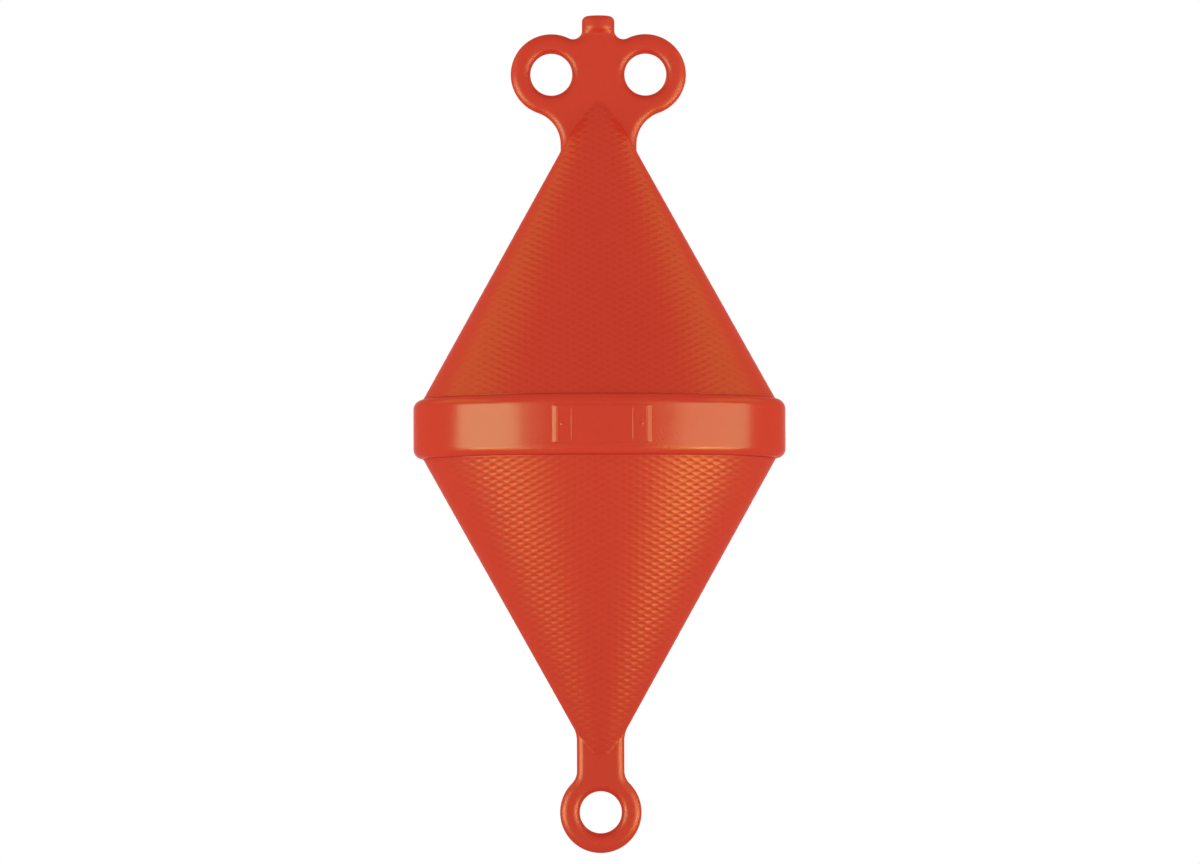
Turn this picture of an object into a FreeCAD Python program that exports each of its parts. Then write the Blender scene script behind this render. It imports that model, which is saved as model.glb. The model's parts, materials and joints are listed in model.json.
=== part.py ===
# Biconical mooring buoy: two cones set base to base on a round belt, a flat head lug with two eyes and a
# filling neck on top, and a flat foot lug with one eye below. Millimetres, +Z up. The origin is on the buoy's
# axis at the middle of the belt, and the three eyes open along Y.
import FreeCAD, Part
import math
import os
import Sketcher
from FreeCAD import Placement, Rotation, Vector

SIZES = (
    ("belt_diameter", 320.0, "outside of the belt"),
    ("belt_height", 51.2, "whole height of the belt"),
    ("belt_edge_radius", 8.5, "round on the belt's top and bottom edges"),
    ("belt_shoulder", 0.2, "flat ledge between the belt's round and the cone"),
    ("cone_half_angle", 29.1, "degrees between a cone's side and the axis"),
    ("cone_tip_diameter", 8.0, "flat tip of each cone, buried in its lug"),
    ("lug_thickness", 17.0, "thickness of the head and foot lugs"),
    ("lug_edge_radius", 6.0, "round along the lugs' outline"),
    ("eye_diameter", 36.0, "hole of each eye"),
    ("eye_rim_radius", 5.5, "round at both ends of an eye's hole"),
    ("eye_ring_diameter", 70.0, "outside of the ring round each eye"),
    ("eye_seat", 1.0, "how far an eye's own piece reaches past its ring"),
    ("head_ring_gap", 11.0, "web between the two head rings"),
    ("head_eye_rise", 8.1, "head eyes above the point that the upper cone's sides run to"),
    ("head_waist_width", 65.4, "width of the head lug where it leaves the cone"),
    ("head_waist_radius", 28.6, "hollow under each head ring"),
    ("head_leg_depth", 20.0, "head lug carried down inside the upper cone below its waist arcs"),
    ("neck_diameter", 28.0, "filling neck"),
    ("neck_length", 11.9, "neck above its seat on the lug"),
    ("neck_top_radius", 5.0, "round on the neck's top edge"),
    ("neck_root_inset", 1.5, "how far the neck's rounded foot ends inside the lug's faces"),
    ("neck_valley_radius", 7.9, "hollow between the neck and each head ring"),
    ("neck_side_inset", 0.2, "how far the lug's edge stays inside the neck's side"),
    ("foot_eye_drop", 31.6, "foot eye below the point that the lower cone's sides run to"),
    ("foot_shank_width", 40.8, "width of the foot lug between cone and ring"),
    ("foot_shoulder_radius", 15.5, "hollow between the shank and the foot ring"),
    ("foot_blend_radius", 27.0, "hollow between the lower cone and the shank"),
    ("foot_blend_inset", 0.1, "how far that hollow runs inside the cone's side"),
    ("foot_root_radius", 20.0, "foot lug's turn back to upright inside the lower cone"),
    ("label_width", 84.0, "blank label panel, across"),
    ("label_margin", 1.0, "between the label panel and each rounded rim of the belt"),
    ("label_relief", 1.0, "label panel's stand above the belt"),
)
size = {name: value for name, value, note in SIZES}

# Lengths that follow from the sizes, as the spreadsheet's expressions write them.
BELT_RADIUS = "Sizes.belt_diameter / 2"
CONE_BASE = "(Sizes.belt_diameter / 2 - Sizes.belt_edge_radius - Sizes.belt_shoulder)"
CONE_TIP = "Sizes.cone_tip_diameter / 2"
CONE_SLOPE = "tan(Sizes.cone_half_angle * 1 deg)"
APEX = "(Sizes.belt_height / 2 + " + CONE_BASE + " / " + CONE_SLOPE + ")"
RING_RADIUS = "Sizes.eye_ring_diameter / 2"
SEAT_RADIUS = "(Sizes.eye_ring_diameter / 2 + Sizes.eye_seat)"
HEAD_EYE_X = "(Sizes.eye_ring_diameter / 2 + Sizes.head_ring_gap / 2)"
HEAD_EYE_Z = "(" + APEX + " + Sizes.head_eye_rise)"
FOOT_EYE_DEPTH = "(" + APEX + " + Sizes.foot_eye_drop)"
NECK_RADIUS = "Sizes.neck_diameter / 2"
NECK_SIDE = "(Sizes.neck_diameter / 2 - Sizes.neck_side_inset)"
NECK_SWELL = "(Sizes.neck_diameter / 2 - Sizes.lug_thickness / 2 + Sizes.neck_root_inset)"
VALLEY_X = "(" + NECK_SIDE + " + Sizes.neck_valley_radius)"
NECK_SEAT = (
    "(" + HEAD_EYE_Z + " + sqrt(pow(" + RING_RADIUS + " + Sizes.neck_valley_radius; 2)"
    " - pow(" + HEAD_EYE_X + " - " + VALLEY_X + "; 2)))"
)
LABEL_HEIGHT = "(Sizes.belt_height - 2 * Sizes.belt_edge_radius - 2 * Sizes.label_margin)"

# The same lengths as numbers, for drawing each sketch where its constraints will hold it.
belt_radius = size["belt_diameter"] / 2
belt_top = size["belt_height"] / 2
cone_angle = math.radians(size["cone_half_angle"])
cone_base = belt_radius - size["belt_edge_radius"] - size["belt_shoulder"]
apex = belt_top + cone_base / math.tan(cone_angle)
lug_half = size["lug_thickness"] / 2
ring_radius = size["eye_ring_diameter"] / 2
eye_radius = size["eye_diameter"] / 2
head_eye_x = ring_radius + size["head_ring_gap"] / 2
head_eye_z = apex + size["head_eye_rise"]
foot_eye_z = -apex - size["foot_eye_drop"]
neck_radius = size["neck_diameter"] / 2
valley_x = neck_radius - size["neck_side_inset"] + size["neck_valley_radius"]
valley_reach = ring_radius + size["neck_valley_radius"]
neck_seat = head_eye_z + math.sqrt(valley_reach**2 - (head_eye_x - valley_x) ** 2)

doc = FreeCAD.newDocument("MooringBuoy")
sheet = doc.addObject("Spreadsheet::Sheet", "Sizes")
for row, (name, value, note) in enumerate(SIZES, 1):
    sheet.set("A%d" % row, note)
    sheet.set("B%d" % row, str(value))
    sheet.setAlias("B%d" % row, name)
doc.recompute()


def new_sketch(body, name, plane):
    """An empty sketch on one of the body's own origin planes."""
    sketch = body.newObject("Sketcher::SketchObject", name)
    support = [item for item in body.Origin.OriginFeatures if item.Role == plane][0]
    sketch.AttachmentSupport = [(support, "")]
    sketch.MapMode = "FlatFace"
    return sketch


def line(sketch, start, end):
    """A straight edge between two (across, up) points; returns its number in the sketch."""
    return sketch.addGeometry(Part.LineSegment(Vector(*start, 0), Vector(*end, 0)), False)


def arc(sketch, centre, radius, start, end):
    """A counterclockwise arc between two angles in radians; returns its number in the sketch."""
    circle = Part.Circle(Vector(*centre, 0), Vector(0, 0, 1), radius)
    return sketch.addGeometry(Part.ArcOfCircle(circle, start, end), False)


def dimension(sketch, name, expression, *constraint):
    """A driving dimension bound to the spreadsheet."""
    index = sketch.addConstraint(Sketcher.Constraint(*constraint))
    sketch.renameConstraint(index, name)
    sketch.setExpression("Constraints." + name, expression)


def relate(sketch, *relations):
    """Geometric constraints, each given as its kind and the points or edges it ties."""
    sketch.addConstraint([Sketcher.Constraint(*relation) for relation in relations])


def revolve(body, sketch):
    """The sketch turned once round the buoy's axis."""
    turned = body.newObject("PartDesign::Revolution", body.Name + "_turned")
    turned.Profile = sketch
    turned.ReferenceAxis = (sketch, ["V_Axis"])
    turned.Angle = 360
    doc.recompute()
    return turned


def round_edges(body, name, chosen, radius):
    """A PartDesign fillet on the tip's edges that pass the test."""
    base = body.Tip
    names = ["Edge%d" % number for number, edge in enumerate(base.Shape.Edges, 1) if chosen(edge)]
    fillet = body.newObject("PartDesign::Fillet", name)
    fillet.Base = (base, names)
    fillet.setExpression("Radius", radius)
    doc.recompute()
    return fillet


def middle(edge):
    return edge.valueAt((edge.FirstParameter + edge.LastParameter) / 2)


def make_belt():
    """The belt: a rectangle turned round the axis, with its two rims rounded."""
    body = doc.addObject("PartDesign::Body", "belt")
    sketch = new_sketch(body, "belt_profile", "XZ_Plane")
    bottom = line(sketch, (0, -belt_top), (belt_radius, -belt_top))
    side = line(sketch, (belt_radius, -belt_top), (belt_radius, belt_top))
    top = line(sketch, (belt_radius, belt_top), (0, belt_top))
    axis = line(sketch, (0, belt_top), (0, -belt_top))
    relate(
        sketch,
        ("Coincident", bottom, 2, side, 1),
        ("Coincident", side, 2, top, 1),
        ("Coincident", top, 2, axis, 1),
        ("Coincident", axis, 2, bottom, 1),
        ("Horizontal", bottom),
        ("Horizontal", top),
        ("PointOnObject", axis, 1, -2),
        ("PointOnObject", axis, 2, -2),
        ("Symmetric", side, 1, side, 2, -1),
    )
    dimension(sketch, "radius", BELT_RADIUS, "DistanceX", bottom, 1, bottom, 2, belt_radius)
    dimension(sketch, "height", "Sizes.belt_height", "DistanceY", side, 1, side, 2, 2 * belt_top)
    revolve(body, sketch)

    def is_rim(edge):
        at = middle(edge)
        return math.hypot(at.x, at.y) > cone_base and abs(at.z) > belt_top / 2

    round_edges(body, "belt_rims", is_rim, "Sizes.belt_edge_radius")
    return body


def make_cone(name, upward):
    """A plain cone frustum standing on the belt, or hanging under it."""
    cone = doc.addObject("Part::Cone", name)
    height = "(" + CONE_BASE + " - " + CONE_TIP + ") / " + CONE_SLOPE
    wide, narrow = ("Radius1", "Radius2") if upward else ("Radius2", "Radius1")
    cone.setExpression(wide, CONE_BASE)
    cone.setExpression(narrow, CONE_TIP)
    cone.setExpression("Height", height)
    base = "Sizes.belt_height / 2" if upward else "-Sizes.belt_height / 2 - " + height
    cone.setExpression("Placement.Base.z", base)
    return cone


def finish_lug(body, sketch, eyes):
    """Half an outline made into a whole lug: padded, mirrored, its eyes cut and all its edges rounded."""
    pad = body.newObject("PartDesign::Pad", body.Name + "_half")
    pad.Profile = sketch
    pad.setExpression("Length", "Sizes.lug_thickness")
    pad.SideType = "Symmetric"
    doc.recompute()
    mirrored = body.newObject("PartDesign::Mirrored", body.Name + "_whole")
    mirrored.Originals = [pad]
    mirrored.MirrorPlane = (sketch, ["V_Axis"])
    mirrored.Refine = True
    body.Tip = mirrored
    doc.recompute()

    holes = new_sketch(body, body.Name + "_eyes", "XZ_Plane")
    for number, (across, up, across_size, up_size) in enumerate(eyes, 1):
        circle = holes.addGeometry(Part.Circle(Vector(across, up, 0), Vector(0, 0, 1), eye_radius), False)
        dimension(holes, "bore_%d" % number, "Sizes.eye_diameter", "Diameter", circle, 2 * eye_radius)
        if across:
            dimension(holes, "across_%d" % number, across_size, "DistanceX", -1, 1, circle, 3, across)
        else:
            relate(holes, ("PointOnObject", circle, 3, -2))
        dimension(holes, "up_%d" % number, up_size, "DistanceY", -1, 1, circle, 3, up)
    solid = body.Shape.Volume
    pocket = body.newObject("PartDesign::Pocket", body.Name + "_bores")
    pocket.Profile = holes
    pocket.setExpression("Length", "2 * Sizes.lug_thickness")
    pocket.SideType = "Symmetric"
    doc.recompute()
    removed = len(eyes) * math.pi * eye_radius**2 * 2 * lug_half
    if abs(solid - pocket.Shape.Volume - removed) > 1e-3 * removed:
        raise RuntimeError(body.Name + ": the eyes weren't cut right through")

    def on_face(edge):
        return all(abs(abs(vertex.Point.y) - lug_half) < 1e-4 for vertex in edge.Vertexes)

    def is_rim(edge):
        return on_face(edge) and edge.Closed

    def is_outline(edge):
        return on_face(edge) and not edge.Closed and not is_closing(edge)

    round_edges(body, body.Name + "_rims", is_rim, "Sizes.eye_rim_radius")
    round_edges(body, body.Name + "_outline", is_outline, "Sizes.lug_edge_radius")


def is_closing(edge):
    """True for the level straight edges that close a lug's outline inside the cone or under the neck."""
    ends = [vertex.Point for vertex in edge.Vertexes]
    return edge.Curve.TypeId == "Part::GeomLine" and (ends[0] - ends[1]).cross(Vector(1, 0, 0)).Length < 1e-4


def make_head_lug():
    """The head lug: legs out of the cone, a hollow waist, two rings and the valleys beside the neck."""
    body = doc.addObject("PartDesign::Body", "head_lug")
    sketch = new_sketch(body, "head_outline", "XZ_Plane")
    waist_half = size["head_waist_width"] / 2
    waist_r = size["head_waist_radius"]
    valley_r = size["neck_valley_radius"]
    waist_x = waist_half + waist_r
    waist_z = head_eye_z - math.sqrt((ring_radius + waist_r) ** 2 - (waist_x - head_eye_x) ** 2)
    leg_end = waist_z - size["head_leg_depth"]
    to_waist = math.atan2(waist_z - head_eye_z, waist_x - head_eye_x)
    to_valley = math.atan2(neck_seat - head_eye_z, valley_x - head_eye_x)
    turn = math.pi

    bottom = line(sketch, (0, leg_end), (waist_half, leg_end))
    leg = line(sketch, (waist_half, leg_end), (waist_half, waist_z))
    waist = arc(sketch, (waist_x, waist_z), waist_r, to_waist + turn, turn)
    ring = arc(sketch, (head_eye_x, head_eye_z), ring_radius, to_waist, to_valley)
    valley = arc(sketch, (valley_x, neck_seat), valley_r, turn, to_valley + turn)
    top = line(sketch, (valley_x - valley_r, neck_seat), (0, neck_seat))
    axis = line(sketch, (0, neck_seat), (0, leg_end))
    relate(
        sketch,
        ("Coincident", bottom, 2, leg, 1),
        ("Tangent", leg, 2, waist, 2),
        ("Tangent", waist, 1, ring, 1),
        ("Tangent", ring, 2, valley, 2),
        ("Coincident", valley, 1, top, 1),
        ("Coincident", top, 2, axis, 1),
        ("Coincident", axis, 2, bottom, 1),
        ("Horizontal", bottom),
        ("Vertical", leg),
        ("Horizontal", top),
        ("PointOnObject", axis, 1, -2),
        ("PointOnObject", axis, 2, -2),
        ("Horizontal", valley, 1, valley, 3),
    )
    dimension(sketch, "ring", RING_RADIUS, "Radius", ring, ring_radius)
    dimension(sketch, "eye_x", HEAD_EYE_X, "DistanceX", -1, 1, ring, 3, head_eye_x)
    dimension(sketch, "eye_z", HEAD_EYE_Z, "DistanceY", -1, 1, ring, 3, head_eye_z)
    dimension(sketch, "waist", "Sizes.head_waist_radius", "Radius", waist, waist_r)
    dimension(sketch, "width", "Sizes.head_waist_width / 2", "DistanceX", bottom, 1, bottom, 2, waist_half)
    dimension(sketch, "leg", "Sizes.head_leg_depth", "DistanceY", leg, 1, leg, 2, size["head_leg_depth"])
    dimension(sketch, "valley", "Sizes.neck_valley_radius", "Radius", valley, valley_r)
    dimension(sketch, "neck_side", NECK_SIDE, "DistanceX", top, 2, top, 1, valley_x - valley_r)
    eyes = (
        (-head_eye_x, head_eye_z, "-" + HEAD_EYE_X, HEAD_EYE_Z),
        (head_eye_x, head_eye_z, HEAD_EYE_X, HEAD_EYE_Z),
    )
    finish_lug(body, sketch, eyes)
    return body


def make_foot_lug():
    """The foot lug: a ring, two hollow shoulders, a shank and a hollow that meets the cone's side."""
    body = doc.addObject("PartDesign::Body", "foot_lug")
    sketch = new_sketch(body, "foot_outline", "XZ_Plane")
    shank_half = size["foot_shank_width"] / 2
    shoulder_r = size["foot_shoulder_radius"]
    blend_r = size["foot_blend_radius"]
    inset = size["foot_blend_inset"]
    shoulder_x = shank_half + shoulder_r
    shoulder_z = foot_eye_z + math.sqrt((ring_radius + shoulder_r) ** 2 - shoulder_x**2)
    blend_x = shank_half + blend_r
    blend_z = -apex + (blend_x * math.cos(cone_angle) - blend_r - inset) / math.sin(cone_angle)
    meet_x = blend_x - blend_r * math.cos(cone_angle)
    meet_z = blend_z + blend_r * math.sin(cone_angle)
    root_r = size["foot_root_radius"]
    root_x = meet_x - root_r * math.cos(cone_angle)
    root_z = meet_z + root_r * math.sin(cone_angle)
    flank_x = cone_base - inset / math.cos(cone_angle)
    to_shoulder = math.atan2(shoulder_z - foot_eye_z, shoulder_x)
    turn = math.pi

    ring = arc(sketch, (0, foot_eye_z), ring_radius, -turn / 2, to_shoulder)
    shoulder = arc(sketch, (shoulder_x, shoulder_z), shoulder_r, turn, to_shoulder + turn)
    shank = line(sketch, (shank_half, shoulder_z), (shank_half, blend_z))
    blend = arc(sketch, (blend_x, blend_z), blend_r, turn - cone_angle, turn)
    root = arc(sketch, (root_x, root_z), root_r, -cone_angle, 0)
    top = line(sketch, (root_x + root_r, root_z), (0, root_z))
    axis = line(sketch, (0, root_z), (0, foot_eye_z - ring_radius))
    flank = line(sketch, (meet_x, meet_z), (flank_x, -belt_top))
    sketch.setConstruction(flank, True)
    relate(
        sketch,
        ("Tangent", ring, 2, shoulder, 2),
        ("Tangent", shoulder, 1, shank, 1),
        ("Tangent", shank, 2, blend, 2),
        ("Tangent", blend, 1, root, 1),
        ("Coincident", root, 2, top, 1),
        ("Coincident", top, 2, axis, 1),
        ("Coincident", axis, 2, ring, 1),
        ("Tangent", blend, 1, flank, 1),
        ("Vertical", shank),
        ("Horizontal", root, 3, root, 2),
        ("Horizontal", top),
        ("PointOnObject", axis, 1, -2),
        ("PointOnObject", axis, 2, -2),
        ("PointOnObject", ring, 3, -2),
    )
    dimension(sketch, "ring", RING_RADIUS, "Radius", ring, ring_radius)
    dimension(sketch, "eye_z", FOOT_EYE_DEPTH, "DistanceY", ring, 3, -1, 1, -foot_eye_z)
    dimension(sketch, "shoulder", "Sizes.foot_shoulder_radius", "Radius", shoulder, shoulder_r)
    dimension(sketch, "half_width", "Sizes.foot_shank_width / 2", "DistanceX", -1, 1, shank, 1, shank_half)
    dimension(sketch, "blend", "Sizes.foot_blend_radius", "Radius", blend, blend_r)
    dimension(sketch, "root", "Sizes.foot_root_radius", "Radius", root, root_r)
    flank_at = CONE_BASE + " - Sizes.foot_blend_inset / cos(Sizes.cone_half_angle * 1 deg)"
    dimension(sketch, "flank_x", flank_at, "DistanceX", -1, 1, flank, 2, flank_x)
    dimension(sketch, "flank_z", "Sizes.belt_height / 2", "DistanceY", flank, 2, -1, 1, belt_top)
    flank_lean = "(90 - Sizes.cone_half_angle) * 1 deg"
    dimension(sketch, "flank_lean", flank_lean, "Angle", flank, turn / 2 - cone_angle)
    finish_lug(body, sketch, ((0, foot_eye_z, "0", "-" + FOOT_EYE_DEPTH),))
    return body


def make_neck_root():
    """The neck's round foot, which swells out of the lug's two faces up to the neck's seat."""
    body = doc.addObject("PartDesign::Body", "neck_root")
    sketch = new_sketch(body, "neck_root_profile", "XZ_Plane")
    swell_r = neck_radius - lug_half + size["neck_root_inset"]
    base_z = neck_seat - swell_r
    bottom = line(sketch, (0, base_z), (neck_radius - swell_r, base_z))
    swell = arc(sketch, (neck_radius - swell_r, neck_seat), swell_r, -math.pi / 2, 0)
    top = line(sketch, (neck_radius, neck_seat), (0, neck_seat))
    axis = line(sketch, (0, neck_seat), (0, base_z))
    relate(
        sketch,
        ("Tangent", bottom, 2, swell, 1),
        ("Coincident", swell, 2, top, 1),
        ("Coincident", top, 2, axis, 1),
        ("Coincident", axis, 2, bottom, 1),
        ("Horizontal", bottom),
        ("Horizontal", top),
        ("PointOnObject", axis, 1, -2),
        ("PointOnObject", axis, 2, -2),
        ("PointOnObject", swell, 3, top),
    )
    dimension(sketch, "swell", NECK_SWELL, "Radius", swell, swell_r)
    dimension(sketch, "radius", NECK_RADIUS, "DistanceX", top, 2, top, 1, neck_radius)
    dimension(sketch, "seat", NECK_SEAT, "DistanceY", -1, 1, axis, 1, neck_seat)
    revolve(body, sketch)
    return body


def make_neck_stub():
    """The closed filling neck: a short round post with a domed rim."""
    body = doc.addObject("PartDesign::Body", "neck_stub")
    sketch = new_sketch(body, "neck_profile", "XZ_Plane")
    top_z = neck_seat + size["neck_length"]
    dome = size["neck_top_radius"]
    bottom = line(sketch, (0, neck_seat), (neck_radius, neck_seat))
    side = line(sketch, (neck_radius, neck_seat), (neck_radius, top_z - dome))
    rim = arc(sketch, (neck_radius - dome, top_z - dome), dome, 0, math.pi / 2)
    top = line(sketch, (neck_radius - dome, top_z), (0, top_z))
    axis = line(sketch, (0, top_z), (0, neck_seat))
    relate(
        sketch,
        ("Coincident", bottom, 2, side, 1),
        ("Tangent", side, 2, rim, 1),
        ("Tangent", rim, 2, top, 1),
        ("Coincident", top, 2, axis, 1),
        ("Coincident", axis, 2, bottom, 1),
        ("Horizontal", bottom),
        ("Vertical", side),
        ("Horizontal", top),
        ("PointOnObject", axis, 1, -2),
        ("PointOnObject", axis, 2, -2),
    )
    dimension(sketch, "radius", NECK_RADIUS, "DistanceX", bottom, 1, bottom, 2, neck_radius)
    dimension(sketch, "rim", "Sizes.neck_top_radius", "Radius", rim, dome)
    dimension(sketch, "seat", NECK_SEAT, "DistanceY", -1, 1, axis, 2, neck_seat)
    dimension(sketch, "length", "Sizes.neck_length", "DistanceY", axis, 2, axis, 1, size["neck_length"])
    revolve(body, sketch)
    return body


def make_label_panel(name, facing):
    """A blank panel curved to the belt; facing is 1 on the rear (+Y) and -1 on the front."""
    body = doc.addObject("PartDesign::Body", name)
    sketch = new_sketch(body, name + "_plan", "XY_Plane")
    half = size["label_width"] / 2
    outer = belt_radius + size["label_relief"]
    lean_in = math.asin(half / belt_radius)
    lean_out = math.asin(half / outer)
    toward = facing * math.pi / 2
    inner_arc = arc(sketch, (0, 0), belt_radius, toward - lean_in, toward + lean_in)
    outer_arc = arc(sketch, (0, 0), outer, toward - lean_out, toward + lean_out)

    def at(radius, lean):
        return (radius * math.cos(toward + lean), radius * math.sin(toward + lean))

    first = line(sketch, at(belt_radius, -lean_in), at(outer, -lean_out))
    last = line(sketch, at(belt_radius, lean_in), at(outer, lean_out))
    relate(
        sketch,
        ("Coincident", inner_arc, 3, -1, 1),
        ("Coincident", outer_arc, 3, -1, 1),
        ("Coincident", first, 1, inner_arc, 1),
        ("Coincident", first, 2, outer_arc, 1),
        ("Coincident", last, 1, inner_arc, 2),
        ("Coincident", last, 2, outer_arc, 2),
        ("Vertical", first),
        ("Vertical", last),
        ("Symmetric", inner_arc, 1, inner_arc, 2, -2),
    )
    outer_at = BELT_RADIUS + " + Sizes.label_relief"
    dimension(sketch, "seat_radius", BELT_RADIUS, "Radius", inner_arc, belt_radius)
    dimension(sketch, "outer_radius", outer_at, "Radius", outer_arc, outer)
    left, right = (1, 2) if facing < 0 else (2, 1)
    dimension(
        sketch, "width", "Sizes.label_width", "DistanceX", inner_arc, left, inner_arc, right, 2 * half
    )
    pad = body.newObject("PartDesign::Pad", name + "_pad")
    pad.Profile = sketch
    pad.setExpression("Length", LABEL_HEIGHT)
    pad.SideType = "Symmetric"
    doc.recompute()
    return body


def make_eye_seat(name, across, up):
    """The round disc that marks out one eye's own piece from its lug."""
    disc = doc.addObject("Part::Cylinder", name)
    disc.Placement = Placement(Vector(0, 0, 0), Rotation(Vector(1, 0, 0), 90))
    disc.setExpression("Radius", SEAT_RADIUS)
    disc.setExpression("Height", "2 * Sizes.lug_thickness")
    disc.setExpression("Placement.Base.x", across)
    disc.setExpression("Placement.Base.y", "Sizes.lug_thickness")
    disc.setExpression("Placement.Base.z", up)
    return disc


def join(name, shapes):
    result = doc.addObject("Part::MultiFuse", name)
    result.Shapes = shapes
    return result


def combine(kind, name, base, tool):
    """A boolean of two objects: kind is Part::Common or Part::Cut."""
    result = doc.addObject(kind, name)
    result.Base = base
    result.Tool = tool
    return result


def check_document():
    """Stops if any object failed to rebuild or any piece isn't one valid closed solid."""
    for item in doc.Objects:
        if "Invalid" in item.State or "Error" in item.State:
            raise RuntimeError(item.Name + " failed: " + str(item.State))
    for piece in pieces:
        shape = piece.Shape
        if shape.isNull() or not shape.isValid() or len(shape.Solids) != 1:
            raise RuntimeError(piece.Label + " isn't one valid solid")


belt = make_belt()
upper_cone = make_cone("upper_cone", True)
lower_cone = make_cone("lower_cone", False)
head_lug = make_head_lug()
foot_lug = make_foot_lug()
neck_root = make_neck_root()
neck_stub = make_neck_stub()
label_front = make_label_panel("label_panel_front", -1)
label_rear = make_label_panel("label_panel_rear", 1)

left_seat = make_eye_seat("left_eye_seat", "-" + HEAD_EYE_X, HEAD_EYE_Z)
right_seat = make_eye_seat("right_eye_seat", HEAD_EYE_X, HEAD_EYE_Z)
foot_seat = make_eye_seat("foot_eye_seat", "0", "-" + FOOT_EYE_DEPTH)
head_whole = join("head_with_neck_root", [head_lug, neck_root])
head_off_cone = combine("Part::Cut", "head_off_cone", head_whole, upper_cone)
foot_off_cone = combine("Part::Cut", "foot_off_cone", foot_lug, lower_cone)
head_eye_left = combine("Part::Common", "head_eye_left", head_off_cone, left_seat)
head_eye_right = combine("Part::Common", "head_eye_right", head_off_cone, right_seat)
head_web = combine("Part::Cut", "head_web", head_off_cone, join("head_eye_seats", [left_seat, right_seat]))
foot_eye = combine("Part::Common", "foot_eye", foot_off_cone, foot_seat)
foot_shank = combine("Part::Cut", "foot_shank", foot_off_cone, foot_seat)
doc.recompute()

pieces = [
    belt,
    label_front,
    label_rear,
    upper_cone,
    lower_cone,
    head_web,
    head_eye_left,
    head_eye_right,
    neck_stub,
    foot_shank,
    foot_eye,
]
check_document()
os.makedirs("parts", exist_ok=True)
for piece in pieces:
    piece.Shape.exportStep("parts/" + piece.Label + ".step")
    box = piece.Shape.BoundBox
    print("%-18s %10.1f mm3  z %7.1f to %7.1f" % (piece.Label, piece.Shape.Volume, box.ZMin, box.ZMax))
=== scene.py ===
import json
import math

import bmesh
import bpy
import numpy as np
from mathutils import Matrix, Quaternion, Vector


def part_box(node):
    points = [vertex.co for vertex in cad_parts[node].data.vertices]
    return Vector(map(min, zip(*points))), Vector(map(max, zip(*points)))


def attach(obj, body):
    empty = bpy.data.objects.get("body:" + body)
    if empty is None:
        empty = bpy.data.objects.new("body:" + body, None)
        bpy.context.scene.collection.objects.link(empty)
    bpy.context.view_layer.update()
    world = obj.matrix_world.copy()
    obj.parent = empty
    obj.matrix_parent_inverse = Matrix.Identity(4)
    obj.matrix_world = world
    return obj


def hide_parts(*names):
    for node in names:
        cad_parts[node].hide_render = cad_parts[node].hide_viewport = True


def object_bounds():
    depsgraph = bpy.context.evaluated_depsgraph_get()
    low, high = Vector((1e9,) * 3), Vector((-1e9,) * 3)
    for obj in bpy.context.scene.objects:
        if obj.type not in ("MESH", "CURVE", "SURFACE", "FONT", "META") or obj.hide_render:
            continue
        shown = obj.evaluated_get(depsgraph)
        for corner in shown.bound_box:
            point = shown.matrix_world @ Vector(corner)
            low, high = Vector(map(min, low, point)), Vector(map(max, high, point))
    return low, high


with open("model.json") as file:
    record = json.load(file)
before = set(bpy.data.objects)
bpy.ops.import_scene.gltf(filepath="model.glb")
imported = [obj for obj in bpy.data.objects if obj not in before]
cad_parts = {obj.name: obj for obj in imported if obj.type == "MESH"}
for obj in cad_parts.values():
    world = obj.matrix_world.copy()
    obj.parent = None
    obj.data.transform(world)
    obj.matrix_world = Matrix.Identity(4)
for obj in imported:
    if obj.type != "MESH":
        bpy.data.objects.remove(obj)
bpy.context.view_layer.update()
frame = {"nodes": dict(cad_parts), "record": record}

mm = 0.001
mounts = {mount["name"]: mount for mount in frame["record"]["mounts"]}
weldStep = 0.1e-6  # points that fall in one cell of this size become one
print("frame loaded:", len(frame["nodes"]), "nodes")

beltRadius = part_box("belt")[1].x
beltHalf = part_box("belt")[1].z
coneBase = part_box("upper_cone")[1].x
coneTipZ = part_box("upper_cone")[1].z
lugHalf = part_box("foot_shank")[1].y
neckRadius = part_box("neck_stub")[1].x
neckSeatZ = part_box("neck_stub")[0].z
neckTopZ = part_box("neck_stub")[1].z
headEyeX = mounts["top_eye_right"]["pos_m"][0]
headEyeZ = mounts["top_eye_right"]["pos_m"][2]
footEyeZ = mounts["bottom_eye"]["pos_m"][2]
eyeRadius = mounts["bottom_eye"]["dims"]["r_mm"] * mm
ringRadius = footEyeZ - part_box("foot_eye")[0].z
coneTipRadius = 4 * mm  # the cones end in a small flat, hidden inside the lugs
coneSlope = (coneBase - coneTipRadius) / (coneTipZ - beltHalf)
coneAngle = math.atan(coneSlope)
apexZ = beltHalf + coneBase / coneSlope  # where the cone would come to a point


def gridFaces(grid, closed):
    # the quads of a grid of points; closed joins its last line of points to the first
    lines, rows = grid.shape[:2]
    i, j = np.meshgrid(np.arange(lines if closed else lines - 1), np.arange(rows - 1), indexing="ij")
    k = (i + 1) % lines
    return np.stack([i * rows + j, k * rows + j, k * rows + j + 1, i * rows + j + 1], -1).reshape(-1, 4)


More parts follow.
